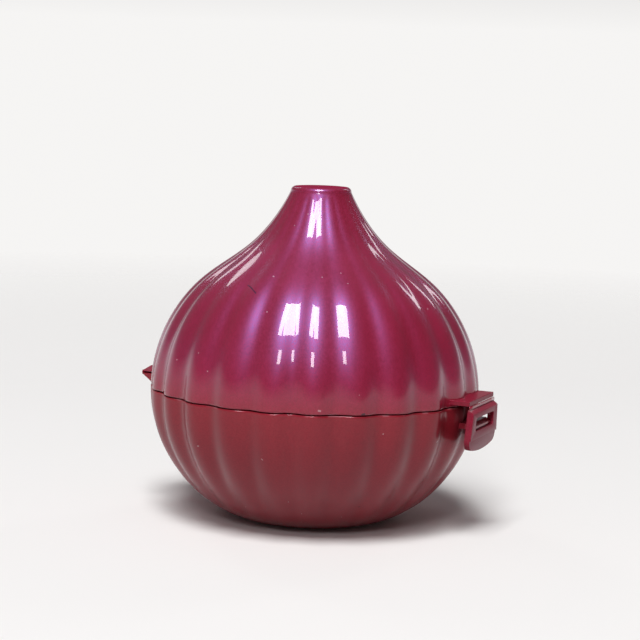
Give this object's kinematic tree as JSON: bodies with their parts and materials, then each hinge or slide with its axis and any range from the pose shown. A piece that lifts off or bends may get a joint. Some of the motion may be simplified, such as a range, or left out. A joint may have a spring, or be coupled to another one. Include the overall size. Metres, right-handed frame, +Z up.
{
  "type": "onion keeper",
  "caption": "Hinged onion-shaped food keeper: fluted bowl and lid on a film hinge, closed by a flap that snaps over a catch.",
  "frame": {"origin": "centre of the flat foot, on the surface it stands on", "axes": "+Z up through the neck, -Y towards the clasp, +Y towards the hinge"},
  "size_m": [0.1136, 0.1255, 0.1157],
  "materials": {
    "lower_shell": "glossy pearlescent plum",
    "upper_shell": "glossy pearlescent plum",
    "lid_hinge_film": "glossy pearlescent plum",
    "latch_hinge_film": "glossy pearlescent plum",
    "latch_flap": "glossy pearlescent plum"
  },
  "bodies": {
    "bowl": {"lower_shell": "lower_shell", "lid_hinge_film": "lid_hinge_film"},
    "lid": {"upper_shell": "upper_shell", "latch_hinge_film": "latch_hinge_film"},
    "flap": {"latch_flap": "latch_flap"}
  },
  "joints": [
    {"name": "lid_hinge", "type": "hinge", "parent": "bowl", "child": "lid", "pos_m": [0, 0.0625, 0.04675], "axis": [-1, 0, 0], "range_deg": [0, 155], "deforming": ["lid_hinge_film"]},
    {"name": "latch_hinge", "type": "hinge", "parent": "lid", "child": "flap", "pos_m": [0, -0.061, 0.0456], "axis": [-1, 0, 0], "range_deg": [0, 120], "deforming": ["latch_hinge_film"]}
  ]
}
